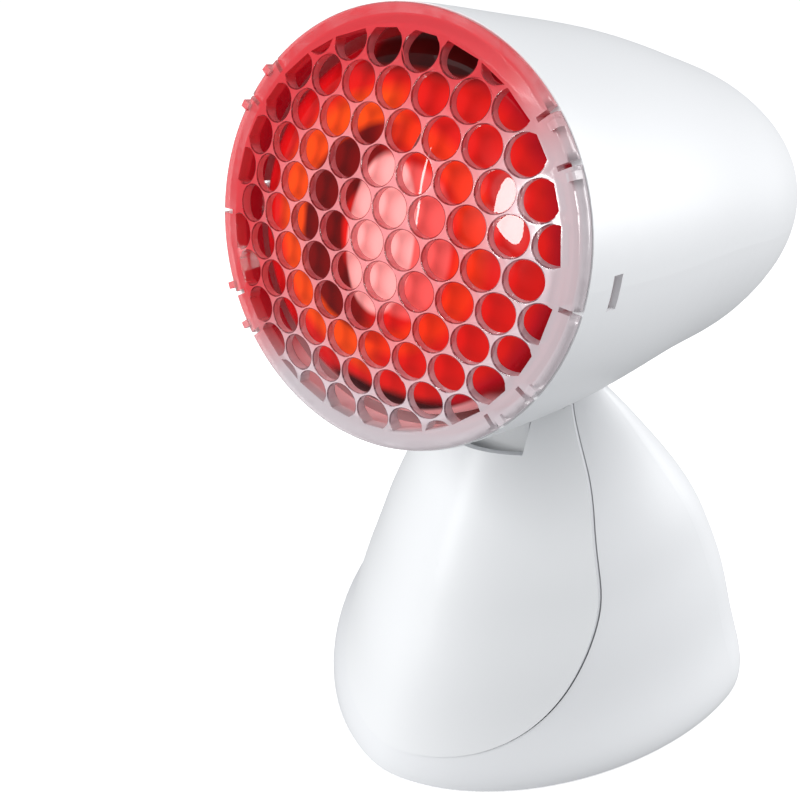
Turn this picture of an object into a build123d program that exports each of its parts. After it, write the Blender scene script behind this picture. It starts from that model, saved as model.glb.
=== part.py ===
import math
import os

from build123d import *

# Infrared heat lamp: a bullet-shaped head on a bell-shaped foot, in millimetres and degrees.
# The face looks towards -Y, +Z is up and +X is the lamp's right side seen from the front.
# Head sizes follow the head's own axis: depth behind the front cover's tip, and drop below the axis.

# Bulb, a red reflector lamp with a 27 mm screw cap
bulb_radius = 40.0
bulb_face = 4.2
bulb_length = 87.0
bulb_wall = 1.0
bulb_curve = [
    (0.0, 0.0),
    (0.35, 0.009),
    (0.675, 0.034),
    (0.875, 0.064),
    (0.965, 0.100),
    (1.0, 0.155),
    (0.985, 0.235),
    (0.925, 0.335),
    (0.82, 0.445),
    (0.68, 0.565),
    (0.54, 0.69),
    (0.43, 0.81),
    (0.36, 0.91),
]
neck_radius = 13.0
cap_radius = 13.3
cap_length = 23.0
cap_thread = 0.35
cap_wall = 0.5
thread_turns = 5
thread_pitch = 3.6
button_radius = 4.5
insulator_length = 4.0
button_length = 2.0
stem_length = 30.0
filament_depth = 46.0
filament_half = 8.2

# Head, a round body whose sections drop a little towards its back
rest_tilt = 9.2
apex_height = 161.7
apex_y = -96.7
bulb_room = 3.3
head_wall = 2.2
rim_depth = 5.3
rim_rebate = 2.0
rear_room = 60.3
head_curve = [
    (0.0, 1.0, 0.0),
    (0.107, 1.013, 1.0),
    (0.241, 1.010, 1.8),
    (0.375, 0.985, 2.2),
    (0.509, 0.945, 3.3),
    (0.643, 0.905, 4.9),
    (0.778, 0.818, 6.2),
    (0.890, 0.695, 7.3),
    (0.951, 0.560, 7.7),
    (0.987, 0.405, 7.9),
    (1.0, 0.300, 8.0),
]
window_width = 3.6
window_height = 7.0
window_depth = 16.6
window_drop = 1.5
rear_slot_width = 2.4
rear_slot_pitch = 5.6
rear_slot_length = 26.0
rear_slot_rows = 2

# Front cover
hole_pitch = 8.6
hole_radius = 3.95
hole_rows = 5
dome_rise = 0.002663
cover_thick = 2.2
cover_clear = 0.15
edge_step = 0.5
skirt_thick = 1.5
skirt_depth = 14.0
hook_clear = 0.4
tab_slot_width = 1.0
tab_slot_length = 3.5
tab_slot_angles = (30.0, 43.0)
latch_slot_angle = 5.0
tab_foot_angles = (27.2, 39.6)

# Lampholder and what carries it
holder_radius = 19.0
holder_gap = 3.0
holder_floor = 14.0
holder_clear = 0.55
contact_room = 3.0
thread_wall = 0.7
bracket_thick = 2.0
bracket_width = 18.0
bracket_end = 5.0
column_radius = 4.5
column_gap = 6.5
holder_screw_offset = 10.0
shield_reach = 14.0
shield_rise = 6.0
shield_thick = 0.8

# Hinge between head and foot
hinge_depth = 77.6
neck_length = 19.1
tilt_range = 12.0
leg_half = 11.5
hub_radius = 12.0
leg_reach = 13.0
tenon_half = 9.2
tenon_fit = 0.2
clamp_reach = 15.5
clamp_depth = 6.1
leg_screw_offset = 6.0
pin_radius = 4.0
pin_clear = 0.05
pin_end = 3.4
washer_thick = 1.5
washer_radius = 9.0
clip_thick = 1.0
cheek_gap = 1.8
cheek_thick = 3.3
sector_radius = 24.0
sector_thick = 5.0
sector_step = 6.0
notch_radius = 1.1
roller_radius = 1.2
roller_gap = 0.2
roller_sink = 0.3
leaf_thick = 0.6
leaf_width = 5.0
leaf_anchor = 19.0
lead_radius = 1.1
lead_spread = 1.7
lead_offset = 7.6
lead_drop = 12.0

# Foot
foot_lift = 1.0
foot_half_width = 63.7
foot_front = 12.0
foot_depth = 132.4
foot_wall = 2.4
head_gap = 1.2
base_rise = 26.0
widest_share = 0.70
front_power = 1.75
back_power = 2.1
foot_curve = [
    (0.0, 0.985, 0.8, 0.8),
    (0.045, 0.985, 1.4, 0.2),
    (0.155, 0.909, 4.5, 0.8),
    (0.273, 0.842, 7.8, 3.4),
    (0.391, 0.776, 12.1, 8.3),
    (0.509, 0.705, 16.8, 15.4),
    (0.627, 0.618, 22.2, 24.9),
    (0.745, 0.520, 28.2, 37.1),
    (0.864, 0.440, 33.8, 51.5),
    (0.973, 0.370, 38.0, 66.0),
    (1.0, 0.352, 39.2, 70.0),
]
slot_rise = 8.5
slot_back = 19.5
panel_proud = 0.5
panel_bite = 1.3
panel_gap = 0.3
panel_ledge = 4.0
panel_middle = 45.0
panel_end = 8.0
panel_outline = [
    (0.0, 9.9),
    (12.9, 10.9),
    (19.5, 12.3),
    (25.8, 14.8),
    (30.6, 18.3),
    (34.4, 23.9),
    (36.6, 31.8),
    (37.1, 41.3),
    (36.2, 50.0),
    (34.3, 58.0),
    (31.5, 67.0),
    (28.8, 75.7),
    (26.2, 83.9),
    (23.6, 92.0),
    (21.4, 99.8),
    (20.0, 106.0),
    (19.4, 114.0),
]
plate_clear = 0.3
plate_bottom = 2.0
plate_thick = 2.5
pad_radius = 6.0
pad_depth = 1.0
pad_inset = 19.0
pad_front = 30.0
pad_back = 26.4
boss_radius = 4.0
boss_height = 20.0
boss_inset = 20.0
boss_front = 48.0
boss_back = 18.4
rib_thick = 2.4
screw_radius = 1.5
screw_clear = 0.1
screw_head = 2.8
screw_head_depth = 1.8
recess_width = 0.8
recess_depth = 0.9

# Rocker switch and cord inlet on the back of the foot
switch_height = 42.0
bezel_width = 15.0
bezel_height = 21.0
bezel_sink = 0.8
bezel_proud = 0.9
switch_width = 12.6
switch_tall = 18.6
switch_deep = 13.0
rocker_half = 5.0
rocker_radius = 8.4
rocker_pivot = 4.0
rocker_rest = -10.0
rocker_pin = 1.0
inlet_height = 13.0
inlet_radius = 4.6
inlet_flange = 6.5
inlet_bore = 2.9
inlet_length = 8.0
inlet_sink = 0.6
inlet_proud = 1.6

# Wiring block and cord clamp
block_back = 32.4
block_half = 14.0
block_deep = 12.0
block_tall = 10.0
terminal_pitch = 8.5
terminal_radius = 2.2
terminal_depth = 6.0
terminal_length = 4.6
clamp_back = 15.4
clamp_half = 10.0
clamp_spread = 7.0
clamp_thick = 2.4
post_radius = 3.0
post_height = 5.0

os.makedirs("parts", exist_ok=True)

neck_depth = bulb_face + bulb_length
cap_end = neck_depth + cap_length
button_front = cap_end + insulator_length
contact_front = button_front + button_length
cavity_back = contact_front + contact_room
holder_front = neck_depth + holder_gap
holder_back = cavity_back + holder_floor
holder_cavity = cap_radius + cap_thread + thread_wall + holder_clear
rim_radius = bulb_radius + bulb_room + head_wall
head_length = holder_back + rear_room
tilt_cos = math.cos(math.radians(rest_tilt))
tilt_sin = math.sin(math.radians(rest_tilt))
apex = Vector(0, apex_y, apex_height)
head_dir = Vector(0, tilt_cos, -tilt_sin)
head_up = Vector(0, tilt_sin, tilt_cos)
head_plane = Plane(origin=apex, x_dir=(1, 0, 0), z_dir=head_dir)
head_section = Plane(origin=apex, x_dir=(1, 0, 0), z_dir=head_up)
head_side = Plane(origin=apex, x_dir=head_dir, z_dir=(1, 0, 0))
head_axis = Axis(apex, head_dir)
slot_half = leg_half + cheek_gap
cheek_outer = slot_half + cheek_thick
front_y = apex_y + foot_front
back_y = front_y + foot_depth


def head_point(x, drop, depth):
    """World place of a point given across, below and along the head's axis."""
    return apex + Vector(x, 0, 0) - head_up * drop + head_dir * depth


def head_radius(depth):
    """Outer radius and drop of the head body at a depth."""
    share = (depth - rim_depth) / (head_length - rim_depth)
    for (t0, r0, d0), (t1, r1, d1) in zip(head_curve, head_curve[1:]):
        if share <= t1:
            f = (share - t0) / (t1 - t0)
            return rim_radius * (r0 + f * (r1 - r0)), d0 + f * (d1 - d0)
    return rim_radius * head_curve[-1][1], head_curve[-1][2]


shell_bottom = sum(head_radius(hinge_depth))
hinge_drop = shell_bottom + neck_length
tenon_top = shell_bottom - head_wall - tenon_fit
hinge = head_point(0, hinge_drop, hinge_depth)
hinge_axis = Axis(hinge, (1, 0, 0))
base_top = hinge.Z + base_rise
slot_floor = hinge.Z + slot_rise


def head_body(inset):
    """The head's form, pulled in by a wall."""
    with BuildPart() as body:
        for share, scale, drop in head_curve:
            depth = rim_depth + share * (head_length - rim_depth)
            if share == 1.0:
                depth -= inset
            with BuildSketch(head_plane.offset(depth)):
                with Locations((0, drop)):
                    Circle(rim_radius * scale - inset * (0.4 if share == 1.0 else 1.0))
        loft()
    return body.part


def foot_size(height):
    """Half width, front and back of the foot at a height."""
    share = (height - foot_lift) / (base_top - foot_lift)
    share = min(max(share, 0.0), 1.0)
    for (t0, w0, f0, b0), (t1, w1, f1, b1) in zip(foot_curve, foot_curve[1:]):
        if share <= t1:
            f = (share - t0) / (t1 - t0)
            break
    half = foot_half_width * (w0 + f * (w1 - w0))
    return half, front_y + f0 + f * (f1 - f0), back_y - b0 - f * (b1 - b0)


def foot_edge(y):
    """Half width of the foot's lowest part at a distance behind its front."""
    middle = foot_depth * widest_share
    if y < middle:
        return foot_half_width * (1 - ((middle - y) / middle) ** front_power) ** (1 / front_power)
    reach = foot_depth - middle
    return foot_half_width * (1 - ((y - middle) / reach) ** back_power) ** (1 / back_power)


def foot_outline(half, front, back):
    """Egg-shaped section, narrower in front."""
    centre = front + (back - front) * widest_share
    points = []
    for i in range(32):
        angle = 2 * math.pi * i / 32
        across, along = math.cos(angle), math.sin(angle)
        power = front_power if along < 0 else back_power
        reach = centre - front if along < 0 else back - centre
        x = math.copysign(abs(across) ** (2 / power), across) * half
        y = centre + math.copysign(abs(along) ** (2 / power), along) * reach
        points.append((x, y))
    return points


def foot_body(inset):
    """The foot's form, pulled in by a wall and open above and below."""
    with BuildPart() as body:
        for share, width, front, back in foot_curve:
            height = foot_lift + share * (base_top - foot_lift)
            points = foot_outline(
                foot_half_width * width - inset,
                front_y + front + inset,
                back_y - back - inset,
            )
            with BuildSketch(Plane.XY.offset(height)):
                with BuildLine():
                    Spline(*points, periodic=True)
                make_face()
        loft()
    return body.part


def slot_box():
    """The way through the foot's front and saddle that the leg moves in."""
    near, far = front_y - 10, hinge.Y + slot_back
    with BuildPart() as way:
        with BuildSketch(Plane.XY.offset(slot_floor)):
            with Locations((0, (near + far) / 2)):
                Rectangle(2 * slot_half, far - near)
        extrude(amount=base_rise + 20)
    return way.part


def head_sweep(gap):
    """The rooms that the underside of the head takes as it tilts, one form for each."""
    radius, drop = head_radius(hinge_depth)
    reach = hinge_drop - drop
    radius += gap
    start = math.radians(rest_tilt + 30)
    first = Plane(origin=hinge, x_dir=(1, 0, 0), z_dir=(0, -math.cos(start), math.sin(start)))
    with BuildPart() as turning:
        with BuildSketch(first):
            with Locations((0, reach)):
                Circle(radius)
        revolve(axis=hinge_axis, revolution_arc=60)
    rooms = [turning.part]
    for angle in (-tilt_range, tilt_range):
        lean = math.radians(rest_tilt - angle)
        along = Vector(0, math.cos(lean), -math.sin(lean))
        centre = hinge + Vector(0, math.sin(lean), math.cos(lean)) * reach
        with BuildPart() as straight:
            with BuildSketch(Plane(centre - along * 110, x_dir=(1, 0, 0), z_dir=along)):
                Circle(radius)
            extrude(amount=220)
        rooms.append(straight.part)
    return rooms


def panel_prism(grow):
    """The teardrop outline of the front panel, run back through the foot's front."""
    low = panel_outline[0][1]
    wide = max(x for x, z in panel_outline)
    right = []
    for x, z in panel_outline:
        if z < panel_middle:
            z = panel_middle + (z - panel_middle) * (panel_middle - low + grow) / (panel_middle - low)
        right.append((x * (wide + grow) / wide, z))
    left = [(-x, z) for x, z in reversed(right[1:])]
    outline = left + right
    near, far = front_y - 10, hinge.Y + panel_end
    with BuildPart() as prism:
        with BuildSketch(Plane(origin=(0, near, 0), x_dir=(1, 0, 0), z_dir=(0, -1, 0))):
            with BuildLine():
                Spline(*outline)
                Line(outline[-1], outline[0])
            make_face()
        extrude(amount=near - far)
    return prism.part


def wire_run(points, radius):
    """Straight runs of insulated wire joined by arcs."""
    start = points[0]
    first = (points[1] - points[0]).normalized()
    with BuildPart() as wire:
        with BuildLine() as path:
            FilletPolyline(*points, radius=radius)
        with BuildSketch(Plane(origin=start, z_dir=first)):
            Circle(lead_radius)
        sweep(path=path.line)
    return wire.part


def cross_recesses(plane, spots):
    """Tools for the cross recesses of screw heads, run in from their outer faces."""
    with BuildPart() as tools:
        with BuildSketch(plane.offset(-recess_depth)):
            with Locations(*spots):
                Rectangle(1.3 * screw_head, recess_width)
                Rectangle(recess_width, 1.3 * screw_head)
        extrude(amount=2 * recess_depth)
    return tools.part


def write(piece, name):
    """Labels a finished piece and writes it."""
    piece.part.label = name
    export_step(piece.part, "parts/" + name + ".step")


# Head shell, open in front, with the cover's seat, latch windows, leg opening and rear slots
rear_drop = head_curve[-1][2]
bracket_back = holder_back + bracket_thick
column_offset = head_radius(bracket_back)[0] - head_wall - column_gap - column_radius
columns = [(-column_offset, 0), (column_offset, 0)]
with BuildPart() as head_shell:
    add(head_body(0))
    add(head_body(head_wall), mode=Mode.SUBTRACT)
    with BuildSketch(head_plane.offset(rim_depth - 1)):
        Circle(rim_radius + 1)
    extrude(amount=rim_rebate + 1, mode=Mode.SUBTRACT)
    with BuildSketch(head_plane.offset(bracket_back)):
        with Locations(*columns):
            Circle(column_radius)
    extrude(amount=head_length - bracket_back)
    add(head_body(0), mode=Mode.INTERSECT)
    with BuildSketch(head_plane.offset(bracket_back)):
        with Locations(*columns):
            Circle(screw_radius + screw_clear)
    extrude(amount=14, mode=Mode.SUBTRACT)
    with BuildSketch(head_plane.offset(window_depth)):
        with Locations((-rim_radius, window_drop), (rim_radius, window_drop)):
            Rectangle(12, window_height)
    extrude(amount=window_width, mode=Mode.SUBTRACT)
    with BuildSketch(head_plane.offset(hinge_depth - tenon_half - 2 * tenon_fit)):
        with Locations((0, shell_bottom)):
            Rectangle(2 * tenon_half + 2 * tenon_fit, 14)
    extrude(amount=2 * tenon_half + 4 * tenon_fit, mode=Mode.SUBTRACT)
    with BuildSketch(head_plane.offset(head_length - 10)):
        for row in range(-rear_slot_rows, rear_slot_rows + 1):
            with Locations((0, rear_drop + row * rear_slot_pitch)):
                SlotOverall(rear_slot_length - 3 * abs(row), rear_slot_width)
    extrude(amount=14, mode=Mode.SUBTRACT)
write(head_shell, "head_shell")

# Clear front cover: domed grille, flat ring, rolled edge, skirt, hooks and spring tabs
flange_radius = rim_radius - cover_clear
skirt_radius = rim_radius - head_wall - 2 * cover_clear
skirt_inner = skirt_radius - skirt_thick
flange_back = rim_depth + rim_rebate
edge_front = rim_depth - edge_step
ring_inner = skirt_inner - 0.9
hook_depth = window_depth + window_width - hook_clear
hole_spots = []
for row in range(-hole_rows, hole_rows + 1):
    drop = row * hole_pitch * math.sqrt(3) / 2
    first = 0.5 * (row % 2)
    across = [(first + column) * hole_pitch for column in range(-20, 20)]
    for x in across:
        reach = math.hypot(x, drop)
        beside_latch = row == 0 and reach > ring_inner
        if reach < ring_inner + 0.7 * hole_radius and not beside_latch:
            hole_spots.append((x, drop))
with BuildPart() as front_cover:
    with BuildSketch(head_section):
        with BuildLine():
            outer = [(r, dome_rise * r * r) for r in (0, 0.34 * skirt_inner, 0.67 * skirt_inner, skirt_inner)]
            inner = [
                (r, dome_rise * r * r + cover_thick)
                for r in (0.87 * skirt_inner, 0.58 * skirt_inner, 0.29 * skirt_inner, 0)
            ]
            edge = flange_radius - 1.6
            Spline(*outer, tangents=((1, 0), (1, 2 * dome_rise * skirt_inner)))
            Line(outer[-1], (edge, edge_front - 0.15))
            ThreePointArc(
                (edge, edge_front - 0.15),
                (flange_radius - 0.45, edge_front + 0.35),
                (flange_radius, edge_front + 1.5),
            )
            Polyline(
                (flange_radius, edge_front + 1.5),
                (flange_radius, flange_back),
                (skirt_radius, flange_back),
                (skirt_radius, skirt_depth),
                (skirt_inner, skirt_depth),
                (skirt_inner, flange_back + 0.4),
                (skirt_inner - skirt_thick, flange_back + 0.4),
                inner[0],
            )
            Spline(*inner)
            Line((0, cover_thick), (0, 0))
        make_face()
    revolve(axis=head_axis)
    for x, drop in hole_spots:
        reach = math.hypot(x, drop)
        with BuildSketch(head_plane.offset(-1)):
            with Locations((x, drop)):
                Circle(hole_radius)
            if reach + hole_radius > ring_inner:
                turn = math.degrees(math.atan2(drop, x))
                away = (ring_inner + 10) / reach
                with Locations(Location((x * away, drop * away, 0), (0, 0, turn))):
                    Rectangle(20, 30, mode=Mode.SUBTRACT)
        extrude(amount=flange_back + 4, mode=Mode.SUBTRACT)
    for side in (-1, 1):
        with BuildSketch(head_plane.offset(skirt_depth - 1)):
            with Locations((side * (skirt_radius - skirt_thick / 2), window_drop)):
                Rectangle(skirt_thick, window_height - 4 * hook_clear)
        extrude(amount=hook_depth - skirt_depth + 1)
        with BuildSketch(head_plane.offset(window_depth + hook_clear)):
            with Locations((side * (skirt_radius + 0.4), window_drop)):
                Rectangle(2.6, window_height - 4 * hook_clear)
        extrude(amount=window_width - 2 * hook_clear)
    slot_turns = [side + turn * angle for side in (0, 180) for turn in (-1, 1) for angle in tab_slot_angles]
    slot_turns += [latch_slot_angle, 180 - latch_slot_angle]
    for turn in slot_turns:
        middle = flange_radius - tab_slot_length / 2 + 1
        spot = (middle * math.cos(math.radians(turn)), middle * math.sin(math.radians(turn)), 0)
        with BuildSketch(head_plane):
            with Locations(Location(spot, (0, 0, turn))):
                Rectangle(tab_slot_length + 2, tab_slot_width)
        extrude(amount=skirt_depth - 2, mode=Mode.SUBTRACT)
    foot_turns = [side + turn * angle for side in (0, 180) for turn in (-1, 1) for angle in tab_foot_angles]
    for turn in foot_turns:
        middle = flange_radius - 0.9
        spot = (middle * math.cos(math.radians(turn)), middle * math.sin(math.radians(turn)), 0)
        with BuildSketch(head_plane.offset(edge_front - 1.0)):
            with Locations(Location(spot, (0, 0, turn))):
                Rectangle(1.8, 1.6)
        extrude(amount=2.6)
write(front_cover, "front_cover")

# Bulb envelope, thin red glass with a domed face and a narrow neck
glass_line = [(bulb_radius * r, bulb_face + bulb_length * z) for r, z in bulb_curve]
glass_line.append((neck_radius, bulb_face + bulb_length))
inside_line = []
for i, (r, z) in enumerate(glass_line):
    before = glass_line[max(i - 1, 0)]
    after = glass_line[min(i + 1, len(glass_line) - 1)]
    run = math.hypot(after[0] - before[0], after[1] - before[1])
    normal = (-(after[1] - before[1]) / run, (after[0] - before[0]) / run)
    if i == 0:
        inside_line.append((0.0, z + bulb_wall))
    elif i == len(glass_line) - 1:
        inside_line.append((r - bulb_wall, z))
    else:
        inside_line.append((r + normal[0] * bulb_wall, z + normal[1] * bulb_wall))
with BuildPart() as bulb_glass:
    with BuildSketch(head_section):
        with BuildLine():
            Spline(*glass_line)
            Line(glass_line[-1], inside_line[-1])
            Spline(*reversed(inside_line))
            Line(inside_line[0], glass_line[0])
        make_face()
    revolve(axis=head_axis)
write(bulb_glass, "bulb_glass")

# Stem that carries the filament inside the envelope
stem_front = neck_depth - stem_length
stem_foot = neck_radius - bulb_wall - 0.4
with BuildPart() as bulb_stem:
    with BuildSketch(head_section):
        with BuildLine():
            Polyline(
                (0, stem_front),
                (filament_half + 1, stem_front),
                (filament_half + 1, stem_front + 3),
                (stem_foot / 3, stem_front + 8),
                (stem_foot / 3, neck_depth - 8),
                (stem_foot, neck_depth - 1),
                (stem_foot, neck_depth),
                (0, neck_depth),
                (0, stem_front),
            )
        make_face()
    revolve(axis=head_axis)
write(bulb_stem, "bulb_stem")

with BuildPart() as bulb_filament:
    with BuildSketch(head_plane.offset(filament_depth)):
        with Locations((-filament_half, 0), (filament_half, 0)):
            Circle(0.5)
    extrude(amount=stem_front - filament_depth)
    coil_start = head_point(-filament_half - 0.6, 0, filament_depth)
    with BuildSketch(Plane(origin=coil_start, x_dir=head_dir, z_dir=(1, 0, 0))):
        Circle(1.2)
    extrude(amount=2 * filament_half + 1.2)
write(bulb_filament, "bulb_filament")

# Screw cap, glass insulator and contact button
with BuildPart() as bulb_cap:
    with BuildSketch(head_section):
        with BuildLine():
            thread = [(cap_radius, neck_depth + 3.0)]
            for turn in range(thread_turns):
                start = neck_depth + 3.0 + turn * thread_pitch
                thread.append((cap_radius + cap_thread, start + 0.33 * thread_pitch))
                thread.append((cap_radius + cap_thread, start + 0.56 * thread_pitch))
                thread.append((cap_radius, start + thread_pitch))
            Polyline(
                (neck_radius - bulb_wall, neck_depth),
                (cap_radius, neck_depth),
                *thread,
                (cap_radius, cap_end - 1),
                (cap_radius - 2, cap_end),
                (cap_radius - 2 - cap_wall, cap_end),
                (cap_radius - cap_wall, cap_end - 1.4),
                (cap_radius - cap_wall, neck_depth + cap_wall),
                (neck_radius - bulb_wall, neck_depth + cap_wall),
                (neck_radius - bulb_wall, neck_depth),
            )
        make_face()
    revolve(axis=head_axis)
write(bulb_cap, "bulb_cap")

with BuildPart() as bulb_insulator:
    with BuildSketch(head_section):
        with BuildLine():
            Polyline(
                (0, cap_end),
                (cap_radius - 2, cap_end),
                (cap_radius - 4, cap_end + 1.6),
                (button_radius + 0.8, cap_end + insulator_length),
                (0, cap_end + insulator_length),
                (0, cap_end),
            )
        make_face()
    revolve(axis=head_axis)
write(bulb_insulator, "bulb_insulator")

with BuildPart() as bulb_button:
    with BuildSketch(head_plane.offset(button_front)):
        Circle(button_radius)
    extrude(amount=button_length)
    fillet(bulb_button.faces().sort_by(head_axis)[-1].edges(), 0.8)
write(bulb_button, "bulb_button")

# Ceramic lampholder with its threaded sleeve and centre contact
holder_screw_spots = [(-holder_screw_offset, 0), (holder_screw_offset, 0)]
with BuildPart() as holder_body:
    with BuildSketch(head_plane.offset(holder_front)):
        Circle(holder_radius)
    extrude(amount=holder_back - holder_front)
    fillet(holder_body.faces().sort_by(head_axis)[-1].edges(), 1.5)
    with BuildSketch(head_plane.offset(holder_front)):
        Circle(holder_cavity)
    extrude(amount=cavity_back - holder_front, mode=Mode.SUBTRACT)
    with BuildSketch(head_plane.offset(holder_back - 10)):
        with Locations(*holder_screw_spots):
            Circle(screw_radius + screw_clear)
    extrude(amount=10, mode=Mode.SUBTRACT)
write(holder_body, "holder_body")

with BuildPart() as holder_sleeve:
    with BuildSketch(head_plane.offset(holder_front + 2)):
        Circle(holder_cavity)
        Circle(holder_cavity - thread_wall, mode=Mode.SUBTRACT)
    extrude(amount=contact_front - holder_front - 4)
write(holder_sleeve, "holder_sleeve")

with BuildPart() as holder_contact:
    with BuildSketch(head_plane.offset(contact_front)):
        Circle(5)
    extrude(amount=0.8)
    with BuildSketch(head_plane.offset(contact_front + 0.8)):
        Circle(1.5)
    extrude(amount=cavity_back - contact_front - 0.8)
write(holder_contact, "holder_contact")

# Metal heat shield round the bulb's neck, seated on the holder's front
shield_inner = (cap_radius + holder_radius) / 2
shield_radius = holder_radius + shield_reach
with BuildPart() as heat_shield:
    with BuildSketch(head_section):
        with BuildLine():
            Polyline(
                (shield_inner, holder_front),
                (shield_inner, holder_front - shield_thick),
                (shield_radius - shield_rise, holder_front - shield_thick),
                (shield_radius, holder_front - shield_rise),
                (shield_radius + shield_thick, holder_front - shield_rise),
                (shield_radius - shield_rise + shield_thick, holder_front),
                (shield_inner, holder_front),
            )
        make_face()
    revolve(axis=head_axis)
    with BuildSketch(head_plane.offset(holder_front - 8)):
        with Locations((0, holder_radius + lead_drop + 2)):
            Rectangle(9, 14)
    extrude(amount=10, mode=Mode.SUBTRACT)
write(heat_shield, "heat_shield")

# Cross bracket that ties the holder to the two columns of the shell
with BuildPart() as holder_bracket:
    with BuildSketch(head_plane.offset(holder_back)):
        RectangleRounded(2 * (column_offset + bracket_end), bracket_width, 4)
        with Locations(*columns, *holder_screw_spots):
            Circle(screw_radius + screw_clear, mode=Mode.SUBTRACT)
    extrude(amount=bracket_thick)
write(holder_bracket, "holder_bracket")

with BuildPart() as bracket_screws:
    with BuildSketch(head_plane.offset(holder_back)):
        with Locations(*columns):
            Circle(screw_radius)
    extrude(amount=bracket_thick + 12)
    with BuildSketch(head_plane.offset(holder_back - screw_head_depth)):
        with Locations(*columns):
            Circle(screw_head)
    extrude(amount=screw_head_depth)
    front = head_point(0, 0, holder_back - screw_head_depth)
    add(cross_recesses(Plane(origin=front, x_dir=(1, 0, 0), z_dir=-head_dir), columns), mode=Mode.SUBTRACT)
write(bracket_screws, "bracket_screws")

with BuildPart() as holder_screws:
    with BuildSketch(head_plane.offset(holder_back - 8)):
        with Locations(*holder_screw_spots):
            Circle(screw_radius)
    extrude(amount=8 + bracket_thick)
    with BuildSketch(head_plane.offset(bracket_back)):
        with Locations(*holder_screw_spots):
            Circle(screw_head)
    extrude(amount=screw_head_depth)
    back = head_plane.offset(bracket_back + screw_head_depth)
    add(cross_recesses(back, holder_screw_spots), mode=Mode.SUBTRACT)
write(holder_screws, "holder_screws")

# Leg under the head: shoulder against the shell, tenon through it, hub and detent sector
leg_plane = head_side.offset(-leg_half)
lead_depth = hinge_depth + lead_offset
screw_depth = hinge_depth - tenon_half / 2
leg_screw_spots = [(-leg_screw_offset, 0), (leg_screw_offset, 0)]
with BuildPart() as head_leg:
    with BuildSketch(leg_plane):
        with BuildLine():
            Polyline(
                (hinge_depth - leg_reach, 2 * hub_radius - hinge_drop),
                (hinge_depth + leg_reach, 2 * hub_radius - hinge_drop),
                (hinge_depth + leg_reach, 1.17 * hub_radius - hinge_drop),
                (hinge_depth + hub_radius, -hinge_drop),
                (hinge_depth - hub_radius, -hinge_drop),
                (hinge_depth - leg_reach, 1.17 * hub_radius - hinge_drop),
                (hinge_depth - leg_reach, 2 * hub_radius - hinge_drop),
            )
        make_face()
        with Locations((hinge_depth, -hinge_drop)):
            Circle(hub_radius)
    extrude(amount=2 * leg_half)
    add(head_body(-0.03), mode=Mode.SUBTRACT)
    with BuildSketch(head_plane.offset(hinge_depth - tenon_half - tenon_fit)):
        with Locations((0, tenon_top + 4)):
            Rectangle(2 * tenon_half, 8)
    extrude(amount=2 * tenon_half + 2 * tenon_fit)
    with BuildSketch(leg_plane.offset(1.5)):
        with BuildLine():
            Polyline(
                (hinge_depth, -hinge_drop),
                (hinge_depth - sector_radius, -hinge_drop - 1.1 * sector_radius),
                (hinge_depth + sector_radius, -hinge_drop - 1.1 * sector_radius),
                (hinge_depth, -hinge_drop),
            )
        make_face()
        with Locations((hinge_depth, -hinge_drop)):
            Circle(sector_radius, mode=Mode.INTERSECT)
        for step in (-2, -1, 0, 1, 2):
            turn = math.radians(step * sector_step)
            across = hinge_depth + sector_radius * math.sin(turn)
            down = -hinge_drop - sector_radius * math.cos(turn)
            with Locations((across, down)):
                Circle(notch_radius, mode=Mode.SUBTRACT)
    extrude(amount=sector_thick)
    with BuildSketch(head_side):
        with Locations((hinge_depth, -hinge_drop)):
            Circle(pin_radius + pin_clear)
    extrude(amount=leg_half + 1, both=True, mode=Mode.SUBTRACT)
    lead_start = head_point(0, tenon_top - 3, lead_depth)
    with BuildSketch(Plane(origin=lead_start, x_dir=(1, 0, 0), z_dir=-head_up)):
        SlotOverall(6.4, 3.2)
    extrude(amount=40, mode=Mode.SUBTRACT)
    screw_start = head_point(0, tenon_top - 3, screw_depth)
    with BuildSketch(Plane(origin=screw_start, x_dir=(1, 0, 0), z_dir=-head_up)):
        with Locations(*leg_screw_spots):
            Circle(screw_radius + screw_clear)
    extrude(amount=15, mode=Mode.SUBTRACT)
write(head_leg, "head_leg")

# Clamp plate inside the shell, shaped to its wall, with a pocket for the leg's tenon
clamp_top = shell_bottom - head_wall - clamp_depth + 1.0
with BuildPart() as clamp_plate:
    add(head_body(head_wall + 0.05))
    with BuildSketch(head_plane.offset(hinge_depth - clamp_reach)):
        with Locations((0, clamp_top + 10)):
            Rectangle(2 * clamp_reach, 20)
    extrude(amount=2 * clamp_reach, mode=Mode.INTERSECT)
    with BuildSketch(head_plane.offset(hinge_depth - tenon_half - tenon_fit - 0.1)):
        with Locations((0, tenon_top + 4.9)):
            Rectangle(2 * tenon_half + tenon_fit, 10)
    extrude(amount=2 * tenon_half + 2 * tenon_fit + 0.2, mode=Mode.SUBTRACT)
    lead_start = head_point(0, clamp_top - 1, lead_depth)
    with BuildSketch(Plane(origin=lead_start, x_dir=(1, 0, 0), z_dir=-head_up)):
        SlotOverall(6.4, 3.2)
    extrude(amount=12, mode=Mode.SUBTRACT)
    screw_start = head_point(0, clamp_top - 1, screw_depth)
    with BuildSketch(Plane(origin=screw_start, x_dir=(1, 0, 0), z_dir=-head_up)):
        with Locations(*leg_screw_spots):
            Circle(screw_radius + screw_clear)
    extrude(amount=12, mode=Mode.SUBTRACT)
write(clamp_plate, "clamp_plate")

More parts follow.
